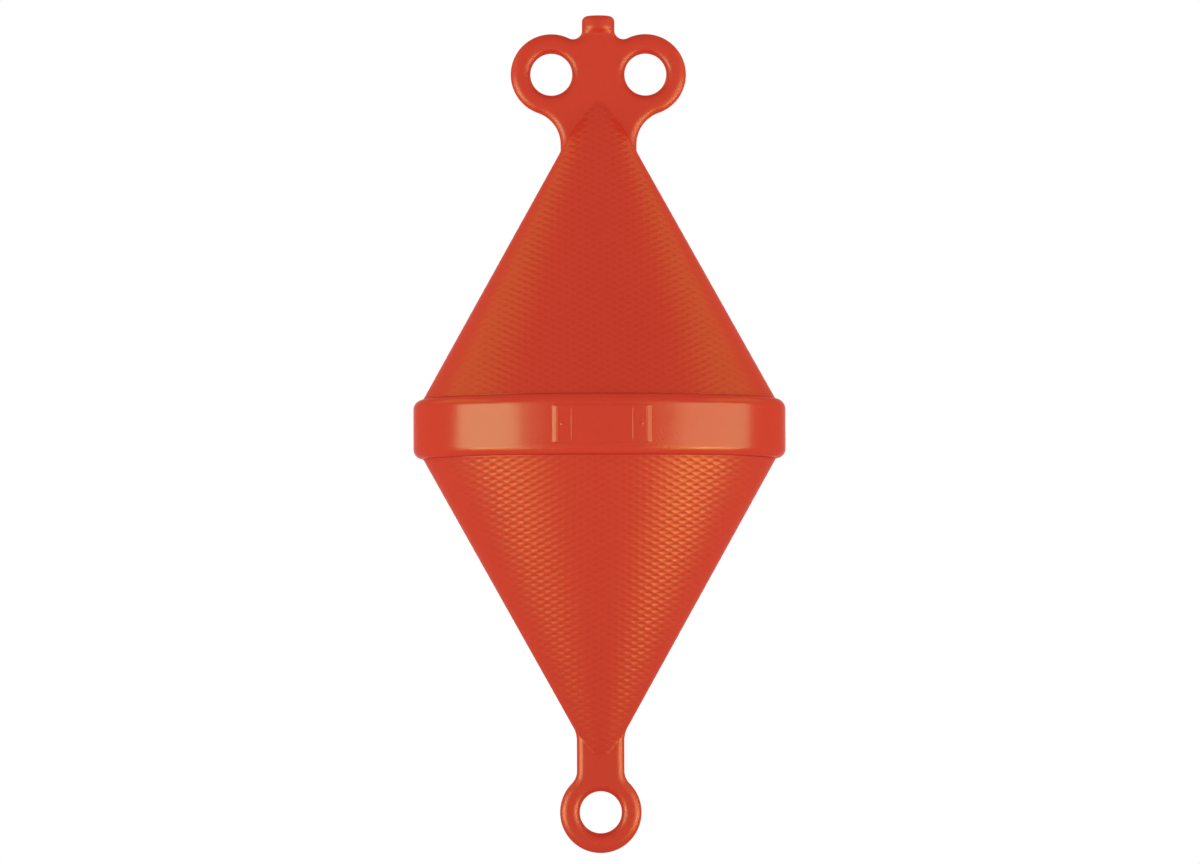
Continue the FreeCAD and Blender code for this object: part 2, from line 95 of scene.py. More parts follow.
def meshFrom(name, patches):
    # patches are (grid of points, its faces); points that meet become one, and a quad that
    # has lost a corner to that becomes a triangle
    points, faces, start = [], [], 0
    for grid, corners in patches:
        points.append(grid.reshape(-1, 3))
        faces.append(corners + start)
        start += len(points[-1])
    points, faces = np.concatenate(points), np.concatenate(faces)
    cell = np.round(points / weldStep).astype(np.int64)
    _, first, merged = np.unique(cell, axis=0, return_index=True, return_inverse=True)
    faces = merged.reshape(-1)[faces]
    corner = faces != np.roll(faces, -1, axis=1)
    count = corner.sum(1)
    whole = count >= 3
    loops = faces[whole][corner[whole]]
    starts = np.concatenate([[0], np.cumsum(count[whole])[:-1]])
    mesh = bpy.data.meshes.new(name)
    mesh.vertices.add(len(first))
    mesh.vertices.foreach_set("co", points[first].astype(np.float32).ravel())
    mesh.loops.add(len(loops))
    mesh.loops.foreach_set("vertex_index", loops.astype(np.int32))
    mesh.polygons.add(len(starts))
    mesh.polygons.foreach_set("loop_start", starts.astype(np.int32))
    mesh.update(calc_edges=True)
    mesh.validate()
    return mesh


def finishPiece(name, mesh, material, nodes):
    # points the faces outwards, shades them smooth and puts the piece in its nodes' place
    shell = bmesh.new()
    shell.from_mesh(mesh)
    bmesh.ops.recalc_face_normals(shell, faces=shell.faces)
    if shell.calc_volume(signed=True) < 0:
        bmesh.ops.reverse_faces(shell, faces=shell.faces)
    openEdges = sum(edge.is_boundary for edge in shell.edges)
    shell.to_mesh(mesh)
    shell.free()
    mesh.shade_smooth()
    mesh.materials.append(material)
    piece = bpy.data.objects.new(name, mesh)
    bpy.context.scene.collection.objects.link(piece)
    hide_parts(*nodes)
    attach(piece, "root")
    triangles = sum(len(polygon.vertices) - 2 for polygon in mesh.polygons)
    print("piece", name, triangles, "triangles,", openEdges, "open edges")


def revolved(radius, height, steps):
    # a profile of radii and heights turned about Z
    turn = np.linspace(0, 2 * math.pi, steps, endpoint=False)[:, None]
    heights = np.broadcast_to(height, (steps, len(height)))
    return np.stack([radius * np.sin(turn), -radius * np.cos(turn), heights], -1)


def smoothStep(low, high, value):
    # 0 below low, 1 above high and a smooth S between
    t = np.clip((value - low) / (high - low), 0, 1)
    return t * t * (3 - 2 * t)


def newGroup(name, inputs, outputs):
    # an empty shader group with these sockets, and its two end nodes
    group = bpy.data.node_groups.new(name, "ShaderNodeTree")
    for label, kind, value in inputs:
        socket = group.interface.new_socket(label, in_out="INPUT", socket_type=kind)
        if value is not None:
            socket.default_value = value
    for label, kind in outputs:
        group.interface.new_socket(label, in_out="OUTPUT", socket_type=kind)
    entry, leave = group.nodes.new("NodeGroupInput"), group.nodes.new("NodeGroupOutput")
    return group, entry, leave


def plug(tree, value, socket):
    # links another node's output to the socket, or sets a number or colour on it
    if isinstance(value, bpy.types.NodeSocket):
        tree.links.new(value, socket)
    else:
        socket.default_value = value


def mathNode(tree, operation, *values):
    node = tree.nodes.new("ShaderNodeMath")
    node.operation = operation
    for value, socket in zip(values, node.inputs):
        plug(tree, value, socket)
    return node.outputs["Value"]


def blendNode(tree, factor, first, second, blendType="MIX"):
    # two colours mixed, which a Mix node of colours reads from its sockets 6 and 7
    node = tree.nodes.new("ShaderNodeMix")
    node.data_type = "RGBA"
    node.blend_type = blendType
    for value, place in zip((factor, first, second), (0, 6, 7)):
        plug(tree, value, node.inputs[place])
    return node.outputs[2]


def rangeNode(tree, value, low, high, lowResult=0.0, highResult=1.0, smooth=False):
    # low to high laid out on lowResult to highResult, straight or in a smooth S
    node = tree.nodes.new("ShaderNodeMapRange")
    node.interpolation_type = "SMOOTHSTEP" if smooth else "LINEAR"
    labels = ("Value", "From Min", "From Max", "To Min", "To Max")
    for amount, label in zip((value, low, high, lowResult, highResult), labels):
        plug(tree, amount, node.inputs[label])
    return node.outputs["Result"]


def noiseNode(tree, vector, scale, detail, roughness):
    node = tree.nodes.new("ShaderNodeTexNoise")
    labels = ("Vector", "Scale", "Detail", "Roughness")
    for value, label in zip((vector, scale, detail, roughness), labels):
        plug(tree, value, node.inputs[label])
    return node.outputs[0]


def mixedNoise(tree, first, second, share):
    # a share of the first noise and the rest of the second
    firstPart = mathNode(tree, "MULTIPLY", first, share)
    return mathNode(tree, "ADD", firstPart, mathNode(tree, "MULTIPLY", second, 1 - share))


def makeSandGrain():
    # the fine sand-blasted skin of the mould: a small noise with a still finer one over it
    group, entry, leave = newGroup(
        "sandGrain",
        [("Vector", "NodeSocketVector", None), ("Grains per Metre", "NodeSocketFloat", 700.0)],
        [("Height", "NodeSocketFloat")],
    )
    vector, scale = entry.outputs["Vector"], entry.outputs["Grains per Metre"]
    coarse = noiseNode(group, vector, scale, detail=2.0, roughness=0.6)
    finer = mathNode(group, "MULTIPLY", scale, 2.7)
    fine = noiseNode(group, vector, finer, detail=1.0, roughness=0.5)
    group.links.new(mixedNoise(group, coarse, fine, share=0.7), leave.inputs["Height"])
    return group


def makeToneDrift():
    # slow clouds between two shades of the pigment, with a little faster mottle in them
    group, entry, leave = newGroup(
        "toneDrift",
        [
            ("Vector", "NodeSocketVector", None),
            ("Light Shade", "NodeSocketColor", (0.6, 0.05, 0.02, 1)),
            ("Deep Shade", "NodeSocketColor", (0.5, 0.04, 0.02, 1)),
            ("Clouds per Metre", "NodeSocketFloat", 7.0),
        ],
        [("Color", "NodeSocketColor")],
    )
    vector, scale = entry.outputs["Vector"], entry.outputs["Clouds per Metre"]
    clouds = noiseNode(group, vector, scale, detail=2.0, roughness=0.5)
    faster = mathNode(group, "MULTIPLY", scale, 18.0)
    mottle = noiseNode(group, vector, faster, detail=3.0, roughness=0.6)
    depth = rangeNode(group, mixedNoise(group, clouds, mottle, share=0.65), low=0.35, high=0.65)
    shade = blendNode(group, depth, entry.outputs["Light Shade"], entry.outputs["Deep Shade"])
    group.links.new(shade, leave.inputs["Color"])
    return group


def makeHandlingMarks():
    # soft patches rubbed by hands and ropes, which move the gloss between two roughnesses
    group, entry, leave = newGroup(
        "handlingMarks",
        [
            ("Vector", "NodeSocketVector", None),
            ("Lowest", "NodeSocketFloat", 0.3),
            ("Highest", "NodeSocketFloat", 0.4),
        ],
        [("Roughness", "NodeSocketFloat")],
    )
    vector, lowest, highest = (entry.outputs[label] for label in ("Vector", "Lowest", "Highest"))
    patches = noiseNode(group, vector, scale=22.0, detail=4.0, roughness=0.65)
    rubbed = rangeNode(group, patches, low=0.3, high=0.7, lowResult=lowest, highResult=highest)
    group.links.new(rubbed, leave.inputs["Roughness"])
    return group


sandGrain, toneDrift, handlingMarks = makeSandGrain(), makeToneDrift(), makeHandlingMarks()
print("shader groups made")

# the low index keeps glare off the rims, and a tint far above one brings back the sheen face on
plasticFinish = {
    "lightShade": (0.576, 0.0345, 0.0181, 1),
    "deepShade": (0.560, 0.0305, 0.0163, 1),
    # the colour that the knurl's hollows are multiplied by: painted shade, not a colour of the plastic
    "hollowShadeColour": (0.45, 0.30, 0.30, 1),
    "ior": 1.015,
    "tint": (110, 325, 162, 1),
    "smoothShare": 0.15,
}

# grains and clouds to the metre, how deep the grain is, and the lowest and highest roughness
plastics = {
    "knurled_shell_plastic": {"grains": 800, "deep": 0.01 * mm, "gloss": (0.28, 0.32), "clouds": 6},
    "smooth_belt_plastic": {"grains": 600, "deep": 0.45 * mm, "gloss": (0.17, 0.21), "clouds": 7},
    "solid_lug_plastic": {"grains": 900, "deep": 0.006 * mm, "gloss": (0.32, 0.37), "clouds": 11},
    "label_panel_plastic": {"grains": 900, "deep": 0.02 * mm, "gloss": (0.20, 0.26), "clouds": 15},
}


def makePlastic(name, paintedHollowShade=0.0, sandyTo=None):
    # moulded polyethylene: clouded pigment, sand grain in the bump, rub marks in the gloss, and painted
    # shade that darkens the floor of the knurl by the depth which the mesh's own attribute marks
    finish = plastics[name]
    material = bpy.data.materials.new(name)
    material.use_nodes = True
    tree = material.node_tree
    shader = tree.nodes["Principled BSDF"]
    place = tree.nodes.new("ShaderNodeTexCoord").outputs["Object"]

    def groupOutput(group, **values):
        node = tree.nodes.new("ShaderNodeGroup")
        node.node_tree = group
        tree.links.new(place, node.inputs["Vector"])
        for label, value in values.items():
            node.inputs[label.replace("_", " ")].default_value = value
        return node.outputs[0]

    tone = groupOutput(
        toneDrift,
        Light_Shade=plasticFinish["lightShade"],
        Deep_Shade=plasticFinish["deepShade"],
        Clouds_per_Metre=finish["clouds"],
    )
    # painted shade: the knurl's hollows are darkened in step with their depth
    if paintedHollowShade:
        groove = tree.nodes.new("ShaderNodeAttribute")
        groove.attribute_name = "groove"
        depth = mathNode(tree, "MULTIPLY", groove.outputs["Fac"], paintedHollowShade)
        tone = blendNode(tree, depth, tone, plasticFinish["hollowShadeColour"], "MULTIPLY")
    height = groupOutput(sandGrain, Grains_per_Metre=finish["grains"])
    if sandyTo:
        # the grain is coarse by the label and dies away along the wall
        split = tree.nodes.new("ShaderNodeSeparateXYZ")
        tree.links.new(place, split.inputs["Vector"])
        away = mathNode(tree, "ABSOLUTE", split.outputs["X"])
        fade = rangeNode(tree, away, *sandyTo, 1.0, plasticFinish["smoothShare"], smooth=True)
        height = mathNode(tree, "MULTIPLY", height, fade)
    bump = tree.nodes.new("ShaderNodeBump")
    bump.inputs["Strength"].default_value = 1.0
    bump.inputs["Distance"].default_value = finish["deep"]
    tree.links.new(height, bump.inputs["Height"])
    lowest, highest = finish["gloss"]
    gloss = groupOutput(handlingMarks, Lowest=lowest, Highest=highest)
    tree.links.new(tone, shader.inputs["Base Color"])
    tree.links.new(gloss, shader.inputs["Roughness"])
    tree.links.new(bump.outputs["Normal"], shader.inputs["Normal"])
    shader.inputs["IOR"].default_value = plasticFinish["ior"]
    shader.inputs["Specular Tint"].default_value = plasticFinish["tint"]
    return material


knurledPlastic = makePlastic("knurled_shell_plastic", paintedHollowShade=0.25)
smoothPlastic = makePlastic("smooth_belt_plastic", sandyTo=(50 * mm, 80 * mm))
lugPlastic = makePlastic("solid_lug_plastic")
labelPlastic = makePlastic("label_panel_plastic")
print("materials made")


belt = {
    "edgeRadius": 8.5 * mm,
    "seamHeight": 0.3 * mm,
    "seamHalfWidth": 1.3 * mm,
    "flatMargin": 0.5 * mm,
    "edgeSteps": 14,
    "wallSteps": 12,
    "turnSteps": 640,
}


def seamRise(across, halfWidth):
    # the parting line's ridge: a half cosine across it, one on the line and zero past its width
    return np.where(np.abs(across) < halfWidth, 0.5 + 0.5 * np.cos(math.pi * across / halfWidth), 0)


def makeBelt():
    # a flat outer wall between two round edges, closed by level faces to the axis; everything
    # but the parting line's ridge lies its height deeper than the belt's full radius
    edge, flatEnd = belt["edgeRadius"], beltRadius - belt["edgeRadius"]
    lean = np.linspace(0, math.pi / 2, belt["edgeSteps"] + 1)
    edgeR, edgeZ = flatEnd + edge * np.cos(lean), beltHalf - edge + edge * np.sin(lean)
    wallZ = np.linspace(-(beltHalf - edge), beltHalf - edge, belt["wallSteps"] + 1)[1:-1]
    wallR = np.full(len(wallZ), beltRadius)
    face = flatEnd - belt["flatMargin"]
    radius = np.concatenate([[0, face], edgeR[::-1], wallR, edgeR, [face, 0]])
    height = np.concatenate([[-beltHalf] * 2, -edgeZ[::-1], wallZ, edgeZ, [beltHalf] * 2])
    points = revolved(radius, height, belt["turnSteps"])
    seam = seamRise(points[..., 1], belt["seamHalfWidth"])
    sink = belt["seamHeight"] * (1 - seam) * smoothStep(flatEnd - edge, flatEnd, radius)
    points[..., :2] *= (1 - sink / np.maximum(radius, mm))[..., None]  # sink is nought at the axis
    mesh = meshFrom("belt_skin", [(points, gridFaces(points, True))])
    finishPiece("belt_skin", mesh, smoothPlastic, ["belt"])


lug = {
    "edgeRadius": 7.6 * mm,
    "eyeRim": 7.2 * mm,
    "flatMargin": 0.6 * mm,
    "edgeSteps": 12,
    "seamSteps": 8,
    "outlineStep": 1.3 * mm,
    "straightStep": 3.9 * mm,
    "eyeSteps": 144,
    "seamHeight": 0.25 * mm,
    "seamHalfWidth": 1.1 * mm,
    "skinUnder": 0.05 * mm,
    "leastBlend": 1 * mm,
}

head = {
    "waistRadius": 28.6 * mm,
    "waistHalf": 32.7 * mm,
    "valleyRadius": 7.9 * mm,
    "valleyX": 21.7 * mm,
    "legHidden": 16 * mm,
    "cornerRadius": 5.8 * mm,
    "coneBlend": 0.55,
}

foot = {
    "shankHalf": 20.4 * mm,
    "shoulderRadius": 15.5 * mm,
    "blendRadius": 27 * mm,
    "blendInset": 0.1 * mm,
    "rootRadius": 20 * mm,
    "coneBlend": 0.3,
}

sharpWidth = 1e-6 * mm  # stands in for a width of nought, which leaves the corner sharp


def smoothMax(first, second, width):
    # the larger of two, with the corner between them rounded off over this width
    near = np.clip(1 - np.abs(first - second) / np.maximum(width, sharpWidth), 0, 1)
    return np.maximum(first, second) + near**2 * width / 4


def lugDepth(inset):
    # half the lug's thickness this far inside its outline, a hair under its face: a quarter
    # circle up from the edge and then level
    curve = np.clip(lug["edgeRadius"] - inset, 0, lug["edgeRadius"])
    depth = lugHalf - lug["edgeRadius"] + np.sqrt(lug["edgeRadius"] ** 2 - curve**2)
    return np.where(inset > 0, depth - lug["skinUnder"], 0)


knurl = {
    "pitchX": 11.45 * mm,
    "pitchZ": 5.81 * mm,
    "depth": 0.7 * mm,
    "risingSlope": 0.85,
    "fallingSlope": 1.25,
    "cellsPerPitch": 6,
    "startWidth": 1.5 * mm,
    "shallowFrom": 210 * mm,
    "shallowAt": 270 * mm,
    "tipShare": 0.7,
    "dullFrom": math.radians(48),
    "dullAt": math.radians(68),
    "sideShare": 0.2,
    "sideFrom": math.radians(62),
    "sideSteps": 22,
    "hiddenRoot": 1.5 * mm,
    "seamMargin": 1e-6,  # radians
    "seamHeight": 0.35 * mm,
    "seamHalfWidth": 1.2 * mm,
}


def knurlSink(x, z):
    # sunken diamonds that the mould's draw direction lays over each half: the distance from the
    # nearest of two families of slanting lines, nought on a line and near one at a diamond's
    # middle; the flanks along the rising lines are flatter and wider than the other ones
    along, down = x / knurl["pitchX"], z / knurl["pitchZ"]
    first, second = along + down, along - down
    rising, falling = np.abs(first - np.round(first)), np.abs(second - np.round(second))
    return 2 * np.minimum(knurl["risingSlope"] * rising, knurl["fallingSlope"] * falling)


def knurlFade(x, z):
    # the knurl starts just off the belt, and a smooth S makes it shallower towards the tip and,
    # by the turn from the middle, towards the parting line
    start = smoothStep(0, knurl["startWidth"], z - beltHalf)
    tipLoss = (1 - knurl["tipShare"]) * smoothStep(knurl["shallowFrom"], knurl["shallowAt"], z)
    radius = np.maximum(coneBase - (z - beltHalf) * coneSlope, mm)
    turn = np.arcsin(np.clip(np.abs(x) / radius, 0, 1))
    sideLoss = (1 - knurl["sideShare"]) * smoothStep(knurl["dullFrom"], knurl["dullAt"], turn)
    return start * (1 - tipLoss) * (1 - sideLoss)


def coneHalf(side, facing):
    # half a cone as a grid of columns and rows. The rows are level with the knurl's lattice. The
    # middle columns have x a whole number of steps, and the side ones have growing turns out to
    # the parting line. Each point then moves along the cone's normal: in by the knurl's depth,
    # out by the parting line's ridge
    stepX = knurl["pitchX"] / knurl["cellsPerPitch"]
    stepZ = knurl["pitchZ"] / knurl["cellsPerPitch"]
    down = np.append(np.arange(0, coneTipZ - beltHalf, stepZ), coneTipZ - beltHalf)
    radius = coneBase - down * coneSlope
    count = math.ceil(coneBase / stepX)
    number = np.arange(-count, count + 1)
    limit = radius * math.sin(knurl["sideFrom"])
    x = np.clip(number[:, None] * stepX, -limit, limit)
    turnMiddle = np.arcsin(np.clip(x / radius, -1, 1))
    share = (np.arange(knurl["sideSteps"]) + 1) / knurl["sideSteps"]
    sideTurn = knurl["sideFrom"] + (math.pi / 2 - knurl["sideFrom"]) * share * (2 - share)
    sides = np.broadcast_to(sideTurn[:, None], (len(sideTurn), len(radius)))
    turn = np.concatenate([-sides[::-1], turnMiddle, sides])
    x, y = radius * np.sin(turn), radius * np.cos(turn)
    fade = knurlFade(x, beltHalf + down)
    seam = seamRise(y, knurl["seamHalfWidth"]) * knurl["seamHeight"]
    outward = seam - knurl["depth"] * fade * knurlSink(x, down)
    reach = radius + outward * math.cos(coneAngle)
    x, y = reach * np.sin(turn), reach * np.cos(turn)
    # where a lug leaves the cone, the skin swells smoothly over to the lug's face
    end = head if side > 0 else foot
    edge = end["waistHalf"] if side > 0 else end["shankHalf"]
    width = np.maximum(lug["leastBlend"], end["coneBlend"] * (radius - lugHalf))
    blended = smoothMax(y, lugDepth(edge - np.abs(x)), width)
    offSeam = np.abs(turn) < math.pi / 2 - knurl["seamMargin"]
    y = np.where((radius < edge + lug["leastBlend"]) & offSeam, blended, y)
    height = side * (beltHalf + down + outward * math.sin(coneAngle))
    points = np.stack([x, facing * y, height], -1)
    # the columns are numbered from the middle one, by which coneFaces finds the knurl's lines
    number = np.arange(-count - knurl["sideSteps"], count + knurl["sideSteps"] + 1)
    return points, number


def coneFaces(number, rows):
    # each cell of the grid as two triangles, cut along the knurl's line where one crosses it
    i, j = np.meshgrid(np.arange(len(number) - 1), np.arange(rows - 1), indexing="ij")
    a, b, c, d = i * rows + j, (i + 1) * rows + j, (i + 1) * rows + j + 1, i * rows + j + 1
    across = (number[i] + j) % knurl["cellsPerPitch"] == 0
    first = np.where(across[..., None], np.stack([a, b, d, d], -1), np.stack([a, b, c, c], -1))
    second = np.where(across[..., None], np.stack([b, c, d, d], -1), np.stack([a, c, d, d], -1))
    return np.concatenate([first.reshape(-1, 4), second.reshape(-1, 4)])


def makeCone(name, side, node):
    # the two halves, each with its rows carried on to the axis: to a point inside the belt at
    # one end and to the tip's middle at the other. The mesh keeps the knurl's depth as a number
    # on each point, for the material's painted shade in the hollows
    patches = []
    for facing in (-1, 1):
        points, number = coneHalf(side, facing)
        root, tip = np.zeros((2, len(points), 1, 3))
        root[..., 2] = side * (beltHalf - knurl["hiddenRoot"])
        tip[..., 2] = side * coneTipZ
        points = np.concatenate([root, points, tip], 1)
        patches.append((points, coneFaces(number, points.shape[1])))
    mesh = meshFrom(name, patches)
    place = np.empty(len(mesh.vertices) * 3, np.float32)
    mesh.vertices.foreach_get("co", place)
    x, z = place[::3], place[2::3]
    # the knurl's depth at each point, which the material turns into painted shade in the hollows
    groove = knurlSink(x, np.abs(z) - beltHalf) * knurlFade(x, np.abs(z))
    marks = mesh.attributes.new("groove", "FLOAT", "POINT")
    marks.data.foreach_set("value", groove.astype(np.float32))
    finishPiece(name, mesh, knurledPlastic, [node])


def arcRun(centreX, centreZ, radius, start, end):
    # points along an arc and their outward normals; an arc run clockwise is a hollow
    count = max(3, int(abs(end - start) * radius / lug["outlineStep"]) + 1)
    angle = np.linspace(start, end, count)
    radial = np.stack([np.cos(angle), np.sin(angle)], -1)
    return np.array([centreX, centreZ]) + radius * radial, radial * np.sign(end - start)


def lineRun(start, end):
    # points along a straight run, and the normal to its right for all of them
    start, end = np.array(start), np.array(end)
    length = np.linalg.norm(end - start)
    along = (end - start) / length
    count = max(2, int(length / lug["straightStep"]) + 1)
    share = np.linspace(0, 1, count)[:, None]
    return start + share * (end - start), np.broadcast_to([along[1], -along[0]], (count, 2))


def wholeOutline(runs):
    # joins the points and the normals of the right half's runs, and mirrors both to the left
    def joined(rows):
        right = np.concatenate([rows[0]] + [row[1:] for row in rows[1:]])
        return np.concatenate([right, right[-2:0:-1] * [-1, 1]])

    points, normals = zip(*runs)
    return joined(points), joined(normals)


def edgeSection(radius):
    # a lug's edge from its front flat to its rear one, as how far inside the outline and how
    # deep: a quarter circle, the parting line's ridge and a quarter circle back
    lean = np.linspace(0, math.pi / 2, lug["edgeSteps"] + 1)
    flat = lugHalf - radius
    frontInset = np.concatenate([[radius + lug["flatMargin"]], radius * (1 - np.sin(lean))])
    frontDepth = np.concatenate([[-lugHalf], -flat - radius * np.cos(lean)])
    seam = np.linspace(-1, 1, lug["seamSteps"] + 1) * lug["seamHalfWidth"]
    inset = np.concatenate([frontInset, np.zeros(len(seam)), frontInset[::-1]])
    depth = np.concatenate([frontDepth, seam, -frontDepth[::-1]])
    return inset + lug["seamHeight"] * (1 - seamRise(depth, lug["seamHalfWidth"])), depth


def lugPatches(outline, normals, eyes):
    # the edge's section carried along the outline, and a rounded rim turned about each eye
    inset, depth = edgeSection(lug["edgeRadius"])
    edge = outline[:, None, :] - normals[:, None, :] * inset[None, :, None]
    depths = np.broadcast_to(depth, edge.shape[:2])
    grids = [np.stack([edge[..., 0], depths, edge[..., 1]], -1)]
    inset, depth = edgeSection(lug["eyeRim"])
    turn = np.linspace(0, 2 * math.pi, lug["eyeSteps"], endpoint=False)[:, None]
    reach = eyeRadius + inset
    for eyeX, eyeZ in eyes:
        rim = [eyeX + reach * np.cos(turn), depth + 0 * turn, eyeZ + reach * np.sin(turn)]
        grids.append(np.stack(rim, -1)[:, ::-1])
    return [(grid, gridFaces(grid, True)) for grid in grids]


def makeLug(name, outline, normals, eyes, nodes):
    # the flats between the outline's edge and the eyes' rims are filled last
    mesh = meshFrom(name, lugPatches(outline, normals, eyes))
    shell = bmesh.new()
    shell.from_mesh(mesh)
    for facing in (-1, 1):
        border = [edge for edge in shell.edges if edge.is_boundary and edge.verts[0].co.y * facing > 0]
        bmesh.ops.triangle_fill(shell, use_beauty=True, use_dissolve=False, edges=border)
    shell.to_mesh(mesh)
    shell.free()
    finishPiece(name, mesh, lugPlastic, nodes)


def headOutline():
    # the right half from the hidden foot: leg, waist hollow, ring, valley, and in under the neck
    waistX = head["waistHalf"] + head["waistRadius"]
    reach = ringRadius + head["waistRadius"]
    waistZ = headEyeZ - math.sqrt(reach**2 - (waistX - headEyeX) ** 2)
    toRing = math.atan2(headEyeZ - waistZ, headEyeX - waistX)
    toValley = math.atan2(neckSeatZ - headEyeZ, head["valleyX"] - headEyeX)
    corner = head["cornerRadius"]
    legFoot = apexZ - head["waistHalf"] / coneSlope - head["legHidden"]
    valleyEnd = head["valleyX"] - head["valleyRadius"]
    return wholeOutline([
        lineRun((0, legFoot), (head["waistHalf"] - corner, legFoot)),
        arcRun(head["waistHalf"] - corner, legFoot + corner, corner, -math.pi / 2, 0),
        lineRun((head["waistHalf"], legFoot + corner), (head["waistHalf"], waistZ)),
        arcRun(waistX, waistZ, head["waistRadius"], math.pi, toRing),
        arcRun(headEyeX, headEyeZ, ringRadius, toRing - math.pi, toValley),
        arcRun(head["valleyX"], neckSeatZ, head["valleyRadius"], toValley - math.pi, -math.pi),
        arcRun(valleyEnd - corner, neckSeatZ, corner, 0, math.pi / 2),
        lineRun((valleyEnd - corner, neckSeatZ + corner), (0, neckSeatZ + corner)),
    ])


def footOutline():
    # the right half from under the eye: ring, shoulder hollow, shank, blend into the cone's
    # side, hidden root
    shoulderX = foot["shankHalf"] + foot["shoulderRadius"]
    reach = ringRadius + foot["shoulderRadius"]
    shoulderZ = footEyeZ + math.sqrt(reach**2 - shoulderX**2)
    toShoulder = math.atan2(shoulderZ - footEyeZ, shoulderX)
    blendX = foot["shankHalf"] + foot["blendRadius"]
    offCone = foot["blendRadius"] + foot["blendInset"]
    blendZ = -apexZ + (blendX * math.cos(coneAngle) - offCone) / math.sin(coneAngle)
    endX = blendX - foot["blendRadius"] * math.cos(coneAngle)
    endZ = blendZ + foot["blendRadius"] * math.sin(coneAngle)
    rootX = endX - foot["rootRadius"] * math.cos(coneAngle)
    rootZ = endZ + foot["rootRadius"] * math.sin(coneAngle)
    return wholeOutline([
        arcRun(0, footEyeZ, ringRadius, -math.pi / 2, toShoulder),
        arcRun(shoulderX, shoulderZ, foot["shoulderRadius"], toShoulder + math.pi, math.pi),
        lineRun((foot["shankHalf"], shoulderZ), (foot["shankHalf"], blendZ)),
        arcRun(blendX, blendZ, foot["blendRadius"], math.pi, math.pi - coneAngle),
        arcRun(rootX, rootZ, foot["rootRadius"], -coneAngle, math.pi / 2),
        lineRun((rootX, rootZ + foot["rootRadius"]), (0, rootZ + foot["rootRadius"])),
    ])


neck = {
    "topRadius": 5.0 * mm,
    "topSteps": 12,
    "rootFrom": 3.0 * mm,
    "rootDepth": 14.0 * mm,
    "rootSteps": 26,
    "rootBlend": 4.0 * mm,
    "turnSteps": 160,
}


def makeNeck():
    # a round post with a rounded rim; below its seat the post's depth dies away in a smooth S,
    # and its skin swells over to the lug's face
    lean = np.linspace(0, math.pi / 2, neck["topSteps"] + 1)
    domeR = neckRadius - neck["topRadius"] * (1 - np.cos(lean))
    domeZ = neckTopZ - neck["topRadius"] * (1 - np.sin(lean))
    rootTop = neckSeatZ + neck["rootFrom"]
    rootZ = np.linspace(rootTop - neck["rootDepth"], rootTop, neck["rootSteps"])
    radius = np.concatenate([[0], np.full(len(rootZ), neckRadius), domeR, [0]])
    height = np.concatenate([rootZ[:1], rootZ, domeZ, [neckTopZ]])
    points = revolved(radius, height, neck["turnSteps"])
    across, deep, up = np.abs(points[..., 0]), np.abs(points[..., 1]), points[..., 2]
    toValley = np.hypot(across - head["valleyX"], up - neckSeatZ) - head["valleyRadius"]
    deep = deep * smoothStep(rootZ[0], rootTop, up)
    face = np.where(up < neckSeatZ, lugDepth(toValley), 0)
    swollen = smoothMax(deep, face, neck["rootBlend"] * smoothStep(0, neck["rootBlend"], face))
    points[..., 1] = np.sign(points[..., 1]) * np.where(radius > 0, swollen, 0)
    mesh = meshFrom("neck_skin", [(points, gridFaces(points, True))])
    finishPiece("neck_skin", mesh, lugPlastic, ["neck_stub"])


label = {
    "halfWidth": 42 * mm,
    "halfHeight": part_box("label_panel_front")[1].z,
    "fieldRise": 0.3 * mm,
    "barOutside": 41.0 * mm,
    "barWidth": 3.9 * mm,
    "barCrest": 0.2,
    "barRise": 0.95 * mm,
    "pipAt": 33 * mm,
    "pipRadius": 1.6 * mm,
    "lineAt": 24.8 * mm,
    "lineHalfHeight": 12.5 * mm,
    "lineHalfWidth": 0.9 * mm,
    "lineRise": 0.35 * mm,
    "pipRise": 0.7 * mm,
    "edgeWidth": 1.2 * mm,
    "backDepth": 2 * mm,
    "step": 0.35 * mm,
}


def labelRelief(s, z):
    # heights over the belt: a low field, at each end a bar whose crest lies towards the middle,
    # a pip inside each bar and a thin upright line inside each pip; the field between is bare
    def dome(distance, half, rise):
        return rise * np.sqrt(np.clip(1 - (distance / half) ** 2, 0, 1))

    s, z = np.abs(s), np.abs(z)
    toEnd = label["halfHeight"] - z
    field = smoothStep(0, label["edgeWidth"], np.minimum(label["halfWidth"] - s, toEnd))
    share = np.clip((s - label["barOutside"]) / label["barWidth"] + 1, 0, 1)
    crest = label["barCrest"]
    bar = np.where(share < crest, np.sin(math.pi / 2 * share / crest), (1 - share) / (1 - crest))
    bar = label["barRise"] * bar * smoothStep(0, label["edgeWidth"], toEnd)
    pip = dome(np.hypot(s - label["pipAt"], z), label["pipRadius"], label["pipRise"])
    beyond = np.maximum(z - label["lineHalfHeight"], 0)
    line = dome(np.hypot(s - label["lineAt"], beyond), label["lineHalfWidth"], label["lineRise"])
    return label["fieldRise"] * field + np.maximum(np.maximum(bar, pip), line)


